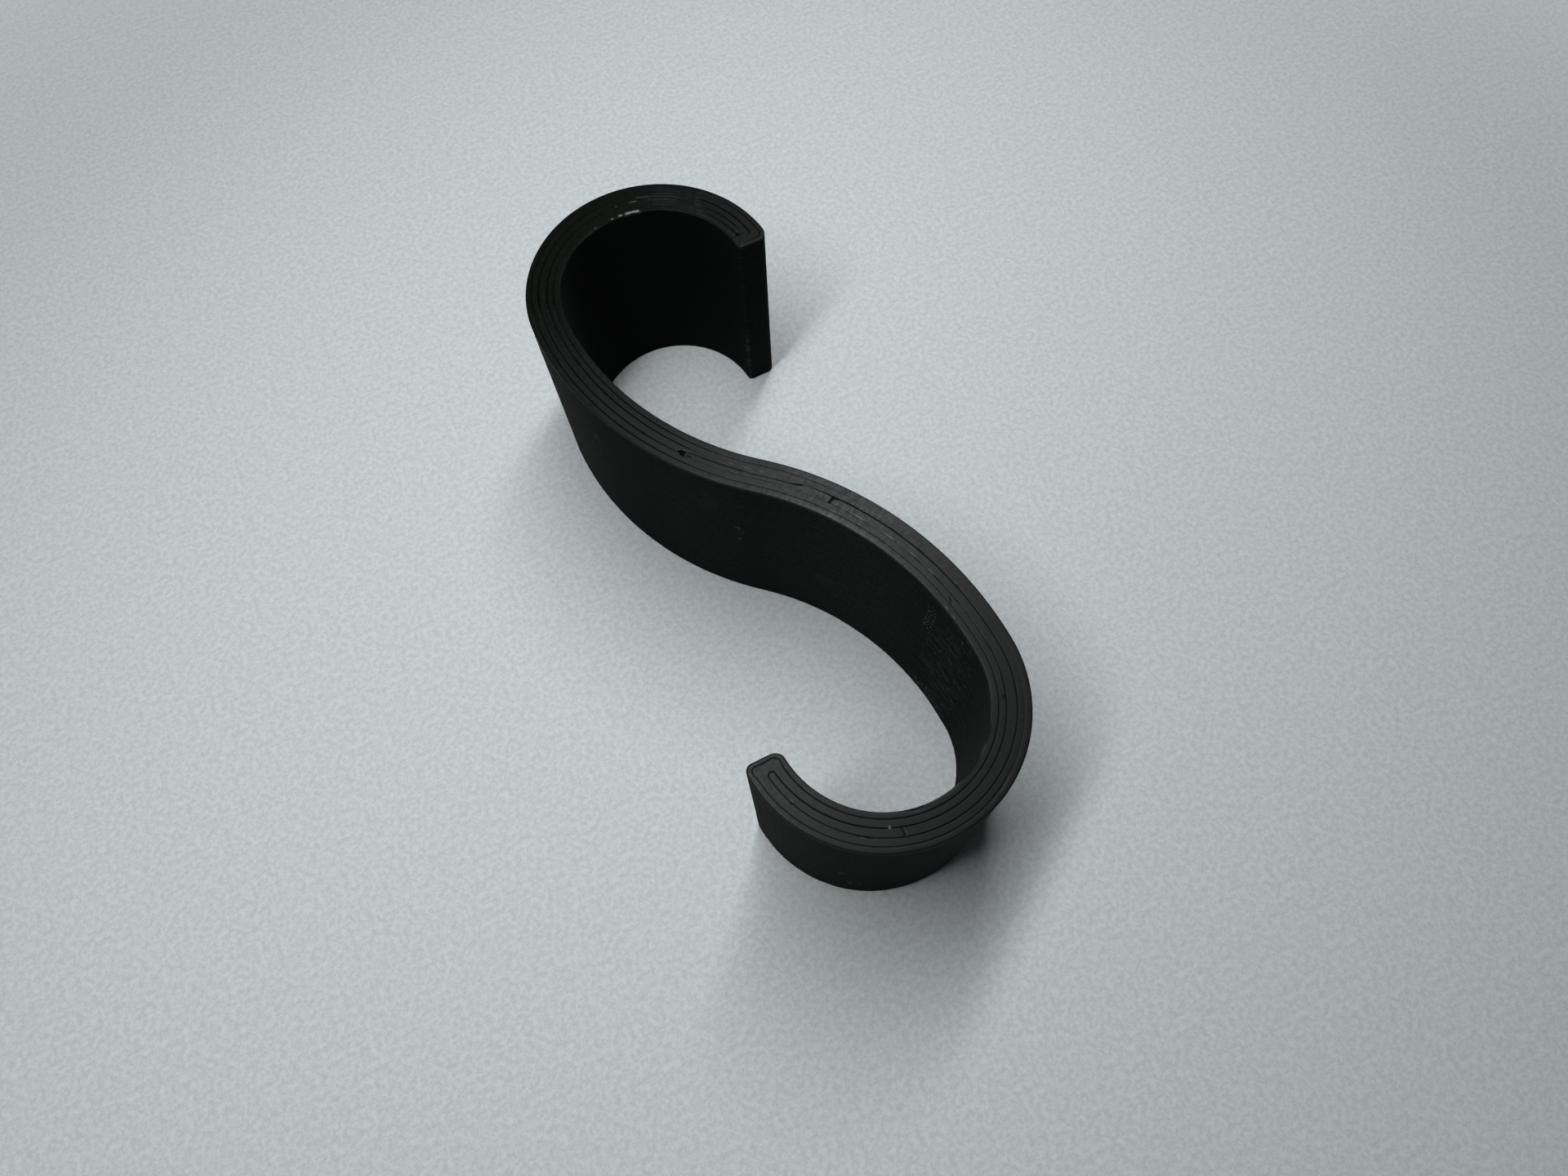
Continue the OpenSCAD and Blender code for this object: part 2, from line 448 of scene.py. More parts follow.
top_pitted, top_dark = blemishes(top_s, top_n)
spine_sunk, spine_dark = blemishes(spine_s, np.zeros(rows_n))
print("deepest blemish, mm:", top_pitted.max().round(3))

# %% Specks
RAGGED_SPECK = 0.10   # how uneven their edges are
SPECKS_AND_GLINTS = [      # height, whiteness, place, half size: bits of plastic whitened by a knock, and painted highlights where pale colour stands for glints
    # crumbs here and there
    (.04, .42, (-30.77, .275), (.06, .05)), (.03, .20, (-36.0, -.10), (.06, .035)),
    (.03, .15, (4.62, -.03), (.09, .045)), (.02, .05, (27.2, -.18), (.06, .05)),
    (.02, .03, (28.2, -.18), (.07, .05)), (.02, .03, (29.35, -.17), (.26, .04)),
    # knocks on the edge of the lower hook and on the upper tip
    (.02, .10, (-13.95, 1.02), (.10, .03)), (.02, .10, (-14.6, 1.03), (.14, .03)),
    (.02, .06, (38.45, -.72), (.05, .04)),
    # painted highlights: glints where the inner trench has closed, painted pale on low bumps
    (.01, .10, (-15.4, .20), (.09, .03)), (.01, .11, (-11.75, .20), (.16, .05)),
    (.01, .13, (-10.2, .19), (.27, .055)), (.01, .15, (-8.6, .19), (.24, .055)),
    (.01, .15, (-6.4, .19), (.32, .055)), (.01, .09, (-.2, -.3), (.08, .02)),
    (.01, .09, (.75, -.31), (.1, .02)), (.01, .09, (1.6, -.3), (.07, .02)),
    # painted highlights: a faint sheen along the roads of the upper bend, painted pale
    (0, .015, (31.4, .25), (.9, .06)), (0, .023, (31.3, -.2), (1.0, .06)),
    (0, .012, (31.5, -.6), (.9, .06)), (0, .009, (31.2, .72), (.7, .05)),
    # painted highlights: lamp glints on its inner edge, painted pale on low bumps
    (.02, .10, (26.1, -1.03), (.07, .035)), (.02, .20, (27.55, -1.03), (.10, .035)),
    (.02, .45, (28.2, -1.03), (.12, .04)), (.02, .50, (28.9, -1.035), (.36, .04)),
    (.02, .55, (29.4, -1.03), (.30, .045)),
]
speck_and_glint, raised = np.zeros(top_s.shape), np.zeros(top_s.shape)
for height, white, at, size in SPECKS_AND_GLINTS:
    mark = spot(top_s, top_n, at, size, RAGGED_SPECK)
    speck_and_glint, raised = np.maximum(speck_and_glint, white * mark), raised + height * mark
print("specks:", len(SPECKS_AND_GLINTS), "highest, mm:", raised.max().round(3))

# %% Height of the top
TOP_DROP = 0.03       # mm, how far the roads lie below the full height, which the highest specks reach
WANDER = 0.002        # mm, how unevenly they lie

outer = notch(inset - outer_trench[:, None], outer_open[:, None], outer_cut[:, None])
inner = notch(inset - inner_trench[:, None], inner_open[:, None], inner_cut[:, None])
# painted shade: how far the colour is darkened in the trenches, scratches, pits and dark nicks
trench_and_shade = np.maximum(np.maximum(outer, inner), top_dark)
cut_down = TRENCH_DEPTH * np.maximum(outer * outer_cut[:, None], inner * inner_cut[:, None])
sunk = np.maximum(cut_down, top_pitted)
from_edge = np.clip(1 - inset / rim_w[:, None], 0, 1)
shoulder_drop = RIM_SHAPE * rim_w[:, None] * (1 - np.sqrt(1 - from_edge**2))
wander = WANDER * np.sin(top_s * 1.7 + 3 * np.sign(top_n)) * (1 - from_edge)
top_z = BAND_H - TOP_DROP - shoulder_drop - sunk + np.minimum(raised, TOP_DROP) + wander
spine_z = BAND_H - TOP_DROP - spine_sunk
print("top, mm: lowest", top_z[:, len(RIM_TURN):].min().round(3), "highest", top_z.max().round(3),
      "middle, lowest", spine_z.min().round(3))

# %% [markdown]
# ## Layers on the walls
#
# Each layer is a flattened bead, so a wall is a stack of low round ribs with
# a fine line between them. A striped texture would look the same from far
# away, but it would not break the edge or the gloss as ribs do. So the wall
# has its own rows, three for each layer, and far fewer columns than the top.
#
# No two layers lie exactly over each other: a layer stands a few thousandths
# of a millimetre proud here and back there. On the inside of the lower hook
# the layers are rougher. Where the nozzle starts and ends each layer, a row of
# small blobs climbs the wall as a ragged seam.

# %% Rows of the wall
LAYER_H = 0.2          # mm
IN_LAYER = np.array([0.0, 0.05, 0.15])    # mm, rows within a layer: its line, and the rib above it
BED_R = 0.10           # mm, the rounding of the first layer
CLEAR_LOW, CLEAR_HIGH = BED_R + 0.02, 0.22    # mm without rows at the bottom and the top

layer_of = np.arange(round(BAND_H / LAYER_H))
wall_z = (layer_of[:, None] * LAYER_H + IN_LAYER).ravel()
wall_line = np.tile([1.0, 0.0, 0.0], len(layer_of))
wall_layer = np.repeat(layer_of, len(IN_LAYER))
keep = (wall_z > CLEAR_LOW) & (wall_z < BAND_H - CLEAR_HIGH)
wall_z, wall_line, wall_layer = wall_z[keep], wall_line[keep], wall_layer[keep]
print("wall: layers", len(layer_of), "rows", len(wall_z))

# %% Columns of the wall
WALL_STEP = 0.75       # mm between columns along the band


def thin_out(places, step):
    """Which places to keep so that they are about one step apart: the first whose distance from the start
    passes each whole number of steps, and the last."""
    count = np.floor((places - places[0]) / step)
    first = np.concatenate([[True], np.diff(count) > 0])
    first[-1] = True
    return first


def every_other(places):
    """Which places to keep round a tip: the second, the fourth and so on."""
    return np.arange(len(places)) % 2 == 1


keep_row = thin_out(spine_s, WALL_STEP)
keep_loop = np.concatenate([keep_row, every_other(upper_s), keep_row[::-1], every_other(lower_s)[::-1]])
wall_i = np.flatnonzero(keep_loop)
wall_s, wall_n = loop_s[wall_i], loop_n[wall_i]
on_a, on_b = wall_n > 0, wall_n < 0
print("wall: columns", len(wall_i))

# %% Layers that wander
LINE_DEPTH = 0.015     # mm, the fine line between two layers
UNEVEN = 0.004         # mm, how far a layer wanders in and out
SIDES_APART = 40.0     # mm added to s on side B, so that the two sides wander differently

rng = np.random.default_rng(7)
wave = rng.uniform(0.15, 1.6, (len(layer_of), 4))
phase = rng.uniform(0, 2 * math.pi, (len(layer_of), 4))


def layer_wander(layer):
    """How far each layer stands out along the band: four sine waves of its own, added."""
    run = wall_s + np.where(on_a, 0.0, SIDES_APART)
    angle = wave[layer][:, None, :] * run[None, :, None] + phase[layer][:, None, :]
    return np.sin(angle).sum(-1) / 2.2


relief = -LINE_DEPTH * wall_line[:, None] + UNEVEN * layer_wander(wall_layer)
print("layers, mm:", relief.min().round(3), "to", relief.max().round(3))

# %% Rough layers and a nicked corner
ROUGH_AT, ROUGH_HALF = -15.5, 3.0       # mm: middle and half length of the rough place in the lower hook
RIPPLE = 0.035                          # mm, from the trough to the crest of its bands
NICK_AT, NICK_R, NICK_DEPTH = (38.36, -1.0), 0.2, 0.10     # the upper tip's inner corner, just under the top

rough_hook = (np.exp(-((wall_s - ROUGH_AT) / ROUGH_HALF) ** 4) * on_a)[None]
z_up, s_on = wall_z[:, None], wall_s[None]
bands = np.sin(5.3 * z_up + 0.9 * np.sin(1.1 * s_on)) + np.sin(8.7 * z_up - 1.2 * s_on)
relief *= 1 + 0.8 * rough_hook
relief += RIPPLE / 2 * rough_hook * bands * np.sin(0.8 * z_up + 0.7 * s_on)
under_top = soft_step((z_up - (BAND_H - 0.46)) / 0.03)
nick_near = np.hypot(s_on - NICK_AT[0], wall_n[None] - NICK_AT[1]) / NICK_R
relief -= NICK_DEPTH * under_top * bell(nick_near)
print("with the rough place and the nick, mm:", relief.min().round(3), "to", relief.max().round(3))

# %% The seam
SEAM_AT = (UPPER_END - 0.12, -HALF_T + 0.12)    # (s, n): on the upper tip's inner corner
SEAM_W = 0.12          # mm
SEAM_OUT = 0.045       # mm that its largest blob stands out
MOST_OUT = 0.055       # mm that anything on a wall may stand out
SEAM_LOW_Z = 5.5       # mm, the height under which it is strong

seam_shift = rng.normal(0, 0.05, len(layer_of))[wall_layer]
seam_size = rng.uniform(0.3, 1.0, len(layer_of))[wall_layer]
seam_near = np.hypot(wall_s - SEAM_AT[0], wall_n - SEAM_AT[1])
seam = bell((seam_near[None] + seam_shift[:, None]) / SEAM_W) * seam_size[:, None]
seam *= 1 - 0.6 * wall_line[:, None]
seam *= 0.3 + 0.7 * soft_step((SEAM_LOW_Z - wall_z[:, None]) / 0.3)
relief = np.minimum(relief + SEAM_OUT * seam, MOST_OUT)
print("wall relief, mm:", relief.min().round(3), "to", relief.max().round(3))

# %% Painted shade and dull places on the walls
TIP_FACE_S, TIP_FACE_SHADE = 38.45, 0.22         # past this s is the upper tip's face
wall_shade_and_dull = 0.85 * soft_step((wall_s - 17) / 1.5) * on_b         # painted shade: the inside of the upper hook is darker, and rougher
# painted shade: the upper tip's face is darkened as well
wall_shade_and_dull = np.where(wall_s > TIP_FACE_S, TIP_FACE_SHADE, wall_shade_and_dull)
wall_shade_and_dull += 0.35 * bell((wall_s - 9) / 3) * on_a                # darker and rougher: the outside, where the upper bend begins
wall_shade_and_dull += 0.35 * bell((wall_s + 31) / 3) * on_b               # darker and rougher: the outside of the lower bend
SEAM_PALE, LINE_DARK = 0.08, 0.5                # how pale the seam is, and how dark a layer's line is painted as shade
# painted shade: the layers' lines and the shaded places are darkened in colour, and made rougher
wall_dark = np.maximum(wall_line[None] * LINE_DARK, wall_shade_and_dull[:, None])
print("dullest place:", wall_shade_and_dull.max().round(2))

# %% [markdown]
# ## The underside
#
# The underside lay on the printer's bed, so it is smooth and flat, with the
# same two rings pressed nearly shut and a small rounding at its edge. Nobody
# looks at it for long: it uses the wall's few columns and only a few rings.

# %% Underside
BED_LINE = 0.02        # mm, depth of its rings
BED_TURN = np.radians([0, 45, 90])
BED_STEPS = TRENCH_STEPS[[1, 3, 5]]

edge_inset = np.repeat((BED_R * (1 - np.cos(BED_TURN)))[None], len(wall_i), 0)
bed_inset = np.hstack([edge_inset, outer_trench[wall_i][:, None] + BED_STEPS,
                       inner_trench[wall_i][:, None] + BED_STEPS])
bed_share = bed_inset / inward_len[wall_i][:, None]
bed_s = wall_s[:, None] + (spine_s[loop_spine[wall_i]] - wall_s)[:, None] * bed_share
bed_n = wall_n[:, None] * (1 - bed_share)
bed_z = np.zeros_like(bed_s)
bed_z[:, :2] = BED_R * (1 - np.sin(BED_TURN[:2]))
bed_z[:, [4, 7]] = BED_LINE      # the middle column of each ring
bed_spine_s = spine_s[keep_row]
print("underside: columns", bed_s.shape)

# %% [markdown]
# ## One closed skin
#
# The top, the walls and the underside are one skin of plastic. Three separate
# sheets would look the same, but could not be printed, weighed or baked. So
# they share their vertices and close into one mesh. The walls have fewer
# columns than the top's outline has rows, so a strip of triangles zips the two
# edges together.


# %% Faces between rows
def grid_faces(index):
    """Two triangles for each cell of a grid of vertex numbers whose last row joins its first."""
    a, b = index, np.roll(index, -1, 0)
    p, q, r, t = a[:, :-1], b[:, :-1], b[:, 1:], a[:, 1:]
    return np.concatenate([np.stack([p, q, r], -1).reshape(-1, 3), np.stack([p, r, t], -1).reshape(-1, 3)])


def close_to_spine(edge, spine):
    """Triangles from the innermost column to the spine; those with no area, at a pole, are left out."""
    e1, s1 = np.roll(edge, -1), np.roll(spine, -1)
    both = np.concatenate([np.stack([edge, e1, spine], -1), np.stack([e1, s1, spine], -1)])
    good = (both[:, 0] != both[:, 1]) & (both[:, 1] != both[:, 2]) & (both[:, 0] != both[:, 2])
    return both[good]


def zip_edges(fine, coarse, coarse_pos):
    """Triangles between a fine ring and a coarse ring: each fine edge goes to the coarse corner whose
    share of the ring it lies in, and each coarse edge to the fine corner where the share changes."""
    total = len(fine)
    middle = (coarse_pos + np.roll(coarse_pos, -1)) / 2
    middle[-1] = (coarse_pos[-1] + coarse_pos[0] + total) / 2 % total
    cut = np.ceil(middle).astype(int) % total
    order = np.argsort(cut)
    last_cut = np.searchsorted(cut[order], np.arange(total), side="right") - 1
    owner = (order[last_cut % len(cut)] + 1) % len(coarse)
    a = np.stack([fine, np.roll(fine, -1), coarse[owner]], -1)
    b = np.stack([coarse, fine[cut], np.roll(coarse, -1)], -1)
    return np.concatenate([a, b])


print("a closed ring of 4 by 2 vertices has", len(grid_faces(np.arange(8).reshape(4, 2))), "triangles")

# %% Vertices of the skin
vertices, lay, dark, pale = [], [], [], []


def add(s, n, z, dark_here, pale_here, out=0.0):
    """Adds a block of vertices and returns their numbers. Each is at the plan's place for (s, n), moved by
    out, at height z; with it go (s, n, z), its darkness and its paleness, which the plastic reads."""
    start = sum(len(block) for block in vertices)
    flat = plan(s, n) + out
    vertices.append(np.concatenate([flat, z[..., None]], -1).reshape(-1, 3))
    lay.append(np.stack([s.ravel(), n.ravel(), z.ravel()], -1))
    dark.append(np.broadcast_to(dark_here, s.shape).ravel())
    pale.append(np.broadcast_to(pale_here, s.shape).ravel())
    return np.arange(start, start + s.size).reshape(s.shape)


top = add(top_s, top_n, top_z, trench_and_shade, speck_and_glint)
top_spine = add(spine_s, np.zeros(rows_n), spine_z, spine_dark, 0.0)
ws, wn, wz = np.broadcast_arrays(wall_s[:, None], wall_n[:, None], wall_z[None])
wall = add(ws, wn, wz, wall_dark, SEAM_PALE * seam.T, outward[wall_i][:, None, :] * relief.T[..., None])
bed = add(bed_s, bed_n, bed_z, 0.0, 0.0)
bed_spine = add(bed_spine_s, np.zeros(len(bed_spine_s)), np.zeros(len(bed_spine_s)), 0.0, 0.0)
vertices, lay, dark, pale = (np.concatenate(blocks) for blocks in (vertices, lay, dark, pale))
print("vertices:", len(vertices))

# %% Faces of the skin
spine_of_bed = np.searchsorted(np.flatnonzero(keep_row), loop_spine[wall_i])
faces = np.concatenate([
    grid_faces(top)[:, ::-1],
    close_to_spine(top[:, -1], top_spine[loop_spine])[:, ::-1],
    zip_edges(top[:, 0], wall[:, -1], wall_i.astype(float)),
    grid_faces(wall[:, ::-1]),
    grid_faces(np.stack([wall[:, 0], bed[:, 0]], -1)),
    grid_faces(bed),
    close_to_spine(bed[:, -1], bed_spine[spine_of_bed]),
])
corner = vertices[faces]
volume = (np.cross(corner[:, 0], corner[:, 1]) * corner[:, 2]).sum() / 6
if volume < 0:
    faces = faces[:, ::-1]
sides = np.sort(np.concatenate([faces[:, [0, 1]], faces[:, [1, 2]], faces[:, [2, 0]]]), axis=1)
edge_use = np.unique(sides, axis=0, return_counts=True)[1]
print("triangles:", len(faces), "volume, mm3:", round(abs(float(volume)), 1),
      "edges not shared by two faces:", int((edge_use != 2).sum()))

# %% Make the mesh
mesh = bpy.data.meshes.new("printed_s_hook")
mesh.vertices.add(len(vertices))
mesh.vertices.foreach_set("co", (vertices * MM).astype(np.float32).ravel())
mesh.loops.add(faces.size)
mesh.loops.foreach_set("vertex_index", faces.astype(np.int32).ravel())
mesh.polygons.add(len(faces))
mesh.polygons.foreach_set("loop_start", np.arange(0, faces.size, 3, dtype=np.int32))
mesh.update(calc_edges=True)
mended = mesh.validate()
mesh.shade_smooth()
hook = bpy.data.objects.new("printed_s_hook", mesh)
bpy.context.scene.collection.objects.link(hook)
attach(hook, "root")
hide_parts("s_hook")
print("mesh:", mesh.name, "mended:", mended)

# %% What the mesh tells the plastic
# the darkness carries painted shade; the paleness carries specks and painted highlights
for name, values, kind, field in (("lay", lay, "FLOAT_VECTOR", "vector"), ("trench_and_shade", dark, "FLOAT", "value"),
                                  ("speck_and_glint", pale, "FLOAT", "value")):
    attribute = mesh.attributes.new(name, kind, "POINT")
    attribute.data.foreach_set(field, np.ascontiguousarray(values, np.float32).ravel())
print("attributes:", [name for name in ("lay", "trench_and_shade", "speck_and_glint") if name in mesh.attributes])

# %% [markdown]
# ## Satin black plastic
#
# The plastic is nearly black, with a satin skin that the nozzle has drawn out
# along the roads. The pattern has to follow the S, so a texture laid on the
# object's own axes won't do: the nodes read the place along the band, across
# it and up it from the mesh. A few short helpers keep the node code readable.


# %% Groups and nodes
def new_group(name, inputs, outputs):
    """A node group with the named inputs and outputs, and its input and output nodes."""
    group = bpy.data.node_groups.new(name, "ShaderNodeTree")
    for title, kind, value in inputs:
        socket = group.interface.new_socket(title, in_out="INPUT", socket_type=kind)
        if value is not None:
            socket.default_value = value
    for title, kind in outputs:
        group.interface.new_socket(title, in_out="OUTPUT", socket_type=kind)
    return group, group.nodes.new("NodeGroupInput"), group.nodes.new("NodeGroupOutput")


def node(tree, kind, settings=(), inputs=()):
    """A node with its settings, and its inputs set to a value or joined to another node's output."""
    made_node = tree.nodes.new(kind)
    for key, value in dict(settings).items():
        setattr(made_node, key, value)
    for key, value in dict(inputs).items():
        if isinstance(value, bpy.types.NodeSocket):
            tree.links.new(value, made_node.inputs[key])
        else:
            made_node.inputs[key].default_value = value
    return made_node


print("helpers:", new_group.__name__, node.__name__)


# %% Numbers from numbers
def maths(tree, operation, a, b=0.0):
    """One number worked out from two."""
    return node(tree, "ShaderNodeMath", {"operation": operation}, {0: a, 1: b}).outputs[0]


def plus(tree, first, *others):
    """The sum of numbers."""
    for other in others:
        first = maths(tree, "ADD", first, other)
    return first


def times(tree, first, *others):
    """The product of numbers."""
    for other in others:
        first = maths(tree, "MULTIPLY", first, other)
    return first


def remap(tree, value, low, high, to_low=0.0, to_high=1.0, curve="LINEAR"):
    """A number carried from the range low to high into another range, and held at that range's ends."""
    return node(tree, "ShaderNodeMapRange", {"interpolation_type": curve}, {
        "Value": value, "From Min": low, "From Max": high, "To Min": to_low, "To Max": to_high}).outputs[0]


print("helpers:", maths.__name__, plus.__name__, times.__name__, remap.__name__)


# %% Colours and clouds
def mix_colour(tree, amount, first, second):
    """The first colour where the amount is 0, and the second where it is 1."""
    return node(tree, "ShaderNodeMix", {"data_type": "RGBA"}, {0: amount, 6: first, 7: second}).outputs[2]


def noise(tree, place, scale, detail, roughness=0.5):
    """Cloudy noise between 0 and 1 at a place."""
    return node(tree, "ShaderNodeTexNoise", {}, {
        "Vector": place, "Scale": scale, "Detail": detail, "Roughness": roughness}).outputs[0]


print("helpers:", mix_colour.__name__, noise.__name__)


# %% Streaks along the roads
def build_streaks():
    """Noise whose cells are long in s and short in n and z: each coordinate is divided by the cell's size."""
    group, gin, gout = new_group(
        "drawn_out_streaks",
        [("Place", "NodeSocketVector", None), ("Length", "NodeSocketFloat", 2.0),
         ("Width", "NodeSocketFloat", 0.05)],
        [("Streak", "NodeSocketFloat")])
    s, n, z = node(group, "ShaderNodeSeparateXYZ", {}, {0: gin.outputs["Place"]}).outputs
    cells = node(group, "ShaderNodeCombineXYZ", {}, {
        0: maths(group, "DIVIDE", s, gin.outputs["Length"]),
        1: maths(group, "DIVIDE", n, gin.outputs["Width"]),
        2: maths(group, "DIVIDE", z, gin.outputs["Width"])})
    group.links.new(noise(group, cells.outputs[0], 1.0, 3.0, 0.6), gout.inputs["Streak"])
    return group


streaks = build_streaks()
print("node group:", streaks.name, len(streaks.nodes), "nodes")


# %% Marks in a patch of wall
def build_patch_marks():
    """Small light marks in an oval patch of a wall: a noise with cells of one length along the layers and
    another up the wall, cut off at a threshold, inside the oval and on one side of the band only."""
    names = ["Side", "Centre S", "Centre Z", "Half S", "Half Z", "Long", "Short", "Threshold"]
    group, gin, gout = new_group(
        "marks_in_patch",
        [("Place", "NodeSocketVector", None)] + [(name, "NodeSocketFloat", 1.0) for name in names],
        [("Marks", "NodeSocketFloat")])
    value = gin.outputs
    s, n, z = node(group, "ShaderNodeSeparateXYZ", {}, {0: value["Place"]}).outputs

    def off(place, centre, half):
        """How far a place is from the oval's centre, in half sizes."""
        return maths(group, "DIVIDE", maths(group, "SUBTRACT", place, value[centre]), value[half])

    u, v = off(s, "Centre S", "Half S"), off(z, "Centre Z", "Half Z")
    radius = maths(group, "SQRT", plus(group, times(group, u, u), times(group, v, v)))
    inside = remap(group, radius, 0.6, 1.0, 1.0, 0.0)
    facing = maths(group, "GREATER_THAN", times(group, n, value["Side"]), 0.95)
    cells = node(group, "ShaderNodeCombineXYZ", {}, {
        0: maths(group, "DIVIDE", s, value["Long"]), 1: value["Side"],
        2: maths(group, "DIVIDE", z, value["Short"])})
    mark = remap(group, noise(group, cells.outputs[0], 1.0, 2.0), value["Threshold"],
                 plus(group, value["Threshold"], 0.1))
    group.links.new(times(group, inside, facing, mark), gout.inputs["Marks"])
    return group


patch_marks = build_patch_marks()
print("node group:", patch_marks.name, len(patch_marks.nodes), "nodes")

# %% A material that knows its place on the band
plastic = bpy.data.materials.new("satin_black_plastic")
plastic.use_nodes = True
tree = plastic.node_tree
shader = tree.nodes["Principled BSDF"]
place = node(tree, "ShaderNodeAttribute", {"attribute_name": "lay"}).outputs["Vector"]
# painted shade comes in with the darkness, and painted highlights with the paleness
trench_and_shade_in = node(tree, "ShaderNodeAttribute", {"attribute_name": "trench_and_shade"}).outputs["Fac"]
speck_and_glint_in = node(tree, "ShaderNodeAttribute", {"attribute_name": "speck_and_glint"}).outputs["Fac"]
at_s, at_n, at_z = node(tree, "ShaderNodeSeparateXYZ", {}, {0: place}).outputs
mesh.materials.append(plastic)


def away_from(middle):
    """How far a place lies from a middle, along the band."""
    return maths(tree, "ABSOLUTE", maths(tree, "SUBTRACT", at_s, middle))


def streak(length, width):
    """One set of streaks in the plastic, with cells of a length and a width in mm."""
    return node(tree, "ShaderNodeGroup", {"node_tree": streaks}, {
        "Place": place, "Length": length, "Width": width}).outputs["Streak"]


BEND_S = 24.0                        # mm, the middle of the upper bend
WALL_TOP, TOP_FROM = 14.80, 14.90    # mm, the heights between which the wall's finish turns into the top's
on_wall = remap(tree, at_z, WALL_TOP, TOP_FROM, 1.0, 0.0)
on_top = maths(tree, "SUBTRACT", 1.0, on_wall)
off_bend = remap(tree, away_from(BEND_S), 5.0, 9.0)
print("material:", plastic.name)

# %% [markdown]
# ## The colour of the plastic
#
# Black plastic is not one black. Streaks along the roads are a little paler,
# and specks and rubs are grey-white where the skin has been bruised. Painted
# shade makes the trenches, pits and layer lines darkest and the inside of the
# upper hook darker; painted highlights put grey-white where glints and the
# bright bands of rough layers fall. The top towards the lower hook is made a
# little paler. One mask for each, mixed in one after the other, keeps them
# apart, so each can be changed by itself.

# %% Rub marks, and painted highlights on rough layers
RUBS = [   # whiteness, side, centre (s, z), half size, mark's length and height, threshold
    # the inside of the lower hook: painted highlights as pale bands along the rough layers, then long
    # streaks, short marks at their upper end, a few at the foot
    (.042, 1, (-15.3, 7.6), (2.8, 8.5), (1.6, .30), .52), (.31, 1, (-15.4, 8.5), (2.8, 7.5), (.28, .12), .63),
    (.38, 1, (-13.0, 11.5), (.60, 2.6), (.11, .18), .58), (.12, 1, (-14.6, 1.0), (2.6, 1.0), (.25, .14), .52),
    (.06, 1, (-18.8, 10.0), (.6, 2.4), (.25, .25), .60),
    # the middle of the S and the outside of the upper hook
    (.12, 1, (1.1, 8.8), (.42, 1.6), (.25, .40), .56), (.010, 1, (-4.7, 5.6), (.9, 1.0), (1.0, 1.0), .30),
    (.010, 1, (3.0, 11.8), (1.1, 1.6), (1.0, 1.0), .35), (.05, 1, (11.2, 11.1), (.25, .3), (.2, .2), .40),
    # the outside of the lower hook
    (.045, -1, (-32.8, 6.4), (.2, .7), (1.0, 1.0), .20),
    (.045, -1, (-32.25, 3.2), (.15, .8), (1.0, 1.0), .20),
    (.025, -1, (-31.75, 3.4), (.12, 1.4), (1.0, 1.0), .20),
]
# pale marks: real specks and rubs, and painted highlights where glints are painted pale
pale_marks_and_glints = speck_and_glint_in
for white, which_side, centre, half, mark_size, threshold in RUBS:
    marks = node(tree, "ShaderNodeGroup", {"node_tree": patch_marks}, {
        "Place": place, "Side": which_side, "Centre S": centre[0], "Centre Z": centre[1],
        "Half S": half[0], "Half Z": half[1], "Long": mark_size[0], "Short": mark_size[1],
        "Threshold": threshold})
    pale_marks_and_glints = plus(tree, pale_marks_and_glints, times(tree, marks.outputs["Marks"], white))
print("rub marks:", len(RUBS), "patches")

# %% Colours
BODY_DARK, BODY_PALE = (0.0016, 0.0026, 0.0018, 1), (0.0028, 0.0040, 0.0031, 1)
BEND_BLACK = (0.0021, 0.0028, 0.0019, 1)       # the top of the upper bend, less green
# painted shade: the black put into the trenches, pits, layer lines and shaded places
TRENCH_AND_SHADE_BLACK = (0.0, 0.0016, 0.0007, 1)
# the grey-white of bruised plastic, also used for painted highlights
BRUISE_AND_GLINT_WHITE = (0.42, 0.44, 0.41, 1)
PALER_LOWER_TOP = 0.006                                   # how much paler the top is made, towards the lower hook

paler_lower_top = times(tree, remap(tree, at_s, 4.0, -8.0, 0.0, PALER_LOWER_TOP), on_top)
on_bend = times(tree, on_top, maths(tree, "SUBTRACT", 1.0, off_bend))
body = mix_colour(tree, remap(tree, streak(6.0, 0.16), 0.3, 0.7), BODY_DARK, BODY_PALE)
body = mix_colour(tree, on_bend, body, BEND_BLACK)
# painted shade: trenches, pits, layer lines, the inside of the upper hook and the tip's face are darkened
body = mix_colour(tree, trench_and_shade_in, body, TRENCH_AND_SHADE_BLACK)
# pale: specks, rubs and the top towards the lower hook; painted highlights where glints and rough layers are
# painted pale
body = mix_colour(tree, plus(tree, pale_marks_and_glints, paler_lower_top), body, BRUISE_AND_GLINT_WHITE)
tree.links.new(body, shader.inputs["Base Color"])
print("colour:", len(tree.nodes), "nodes so far")

# %% [markdown]
# ## The gloss of the plastic
#
# The last layer was ironed by the nozzle, so the top shines softly, while the
# ribs of the walls scatter the light and look dull. The gloss also changes
# from place to place: it is uneven along the roads, duller in the trenches,
# and brightest on the edge of the middle, where the outer road was laid
# smoothest. All this is one number, the roughness, added up from its parts.
# The strength of the reflection is the same everywhere, so it is set on the
# shader's own socket.

# %% Roughness
TOP_ROUGH_BEND, TOP_ROUGH, WALL_ROUGH = 0.33, 0.405, 0.86
SHEEN_AT = -6.5                      # mm, the middle of the smoothest stretch
SHEEN, RIM_SHEEN = -0.022, -0.095    # what it takes off the roughness: on the roads, and at side A's edge
TRENCH_ROUGH, TRENCH_ROUGH_BEND = 0.5, -0.24     # what a trench adds, and what it adds on the top of the bend



